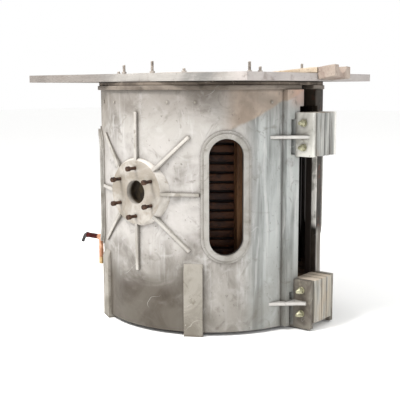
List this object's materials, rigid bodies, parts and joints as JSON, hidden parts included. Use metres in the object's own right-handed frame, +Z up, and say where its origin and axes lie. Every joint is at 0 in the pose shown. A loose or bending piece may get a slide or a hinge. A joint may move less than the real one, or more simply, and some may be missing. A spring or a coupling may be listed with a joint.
{
  "type": "induction furnace",
  "caption": "Induction melting furnace body: split aluminium shell with windows and trunnion hubs round a water-cooled coil and crucible, with a top board and pouring spout.",
  "frame": {"origin": "on the shell's upright axis, at the level of the feet and of the base slab's underside", "axes": "+Z up; -Y is the pouring side with the spout; X is the trunnion axis, with the pictured hub at -X"},
  "size_m": [1.128, 1.468, 1.125],
  "materials": {
    "shell_aluminium": "weathered cast and rolled aluminium",
    "rusty_steel": "rusty",
    "zinc_steel": "yellow zinc plated",
    "top_board": "matt grey insulating cement board",
    "spacer": "matt, dusty",
    "laminate": "grey pressed laminate",
    "refractory": "dry rammed refractory",
    "floor_refractory": "brown, sooty refractory concrete",
    "coil_copper": "copper under dark brown coil varnish",
    "coil_insulation": "dark mica and fibre sheet",
    "coil_post": "brown varnished hardwood",
    "lead_copper": "copper under maroon varnish",
    "bare_copper": "dull bare copper",
    "brass": "dull brass",
    "nozzle_steel": "dark painted"
  },
  "bodies": {
    "root": {"base_slab": "floor_refractory", "coil_insulation": "coil_insulation", "coil_posts": "coil_post", "coil_terminals": "bare_copper", "crucible_lining": "refractory", "drain_coupling": "brass", "drain_pipe": "bare_copper", "ear_bolts": "zinc_steel", "ear_nuts": "zinc_steel", "front_lower_insulating_block": "laminate", "front_upper_insulating_block": "laminate", "hose_nozzles": "nozzle_steel", "induction_coil": "coil_copper", "left_edge_bars": "shell_aluminium", "left_floor_ledge": "shell_aluminium", "left_front_foot": "shell_aluminium", "left_front_lower_ear": "shell_aluminium", "left_front_upper_ear": "shell_aluminium", "left_half_shell": "shell_aluminium", "left_hub_bolts": "rusty_steel", "left_hub_ribs": "shell_aluminium", "left_rear_foot": "shell_aluminium", "left_rear_lower_ear": "shell_aluminium", "left_rear_upper_ear": "shell_aluminium", "left_top_flange": "shell_aluminium", "left_trunnion_hub": "shell_aluminium", "left_window_rims": "shell_aluminium", "lower_lead": "lead_copper", "pedestal_block": "floor_refractory", "rear_lower_insulating_block": "laminate", "rear_upper_insulating_block": "laminate", "right_edge_bars": "shell_aluminium", "right_floor_ledge": "shell_aluminium", "right_front_foot": "shell_aluminium", "right_front_lower_ear": "shell_aluminium", "right_front_upper_ear": "shell_aluminium", "right_half_shell": "shell_aluminium", "right_hub_bolts": "rusty_steel", "right_hub_ribs": "shell_aluminium", "right_rear_foot": "shell_aluminium", "right_rear_lower_ear": "shell_aluminium", "right_rear_upper_ear": "shell_aluminium", "right_top_flange": "shell_aluminium", "right_trunnion_hub": "shell_aluminium", "right_window_rims": "shell_aluminium", "spacer_ring": "spacer", "spout_block": "refractory", "spout_nose": "refractory", "tie_rod_nuts": "zinc_steel", "tie_rods": "zinc_steel", "top_board": "top_board", "upper_lead": "lead_copper"}
  },
  "joints": []
}
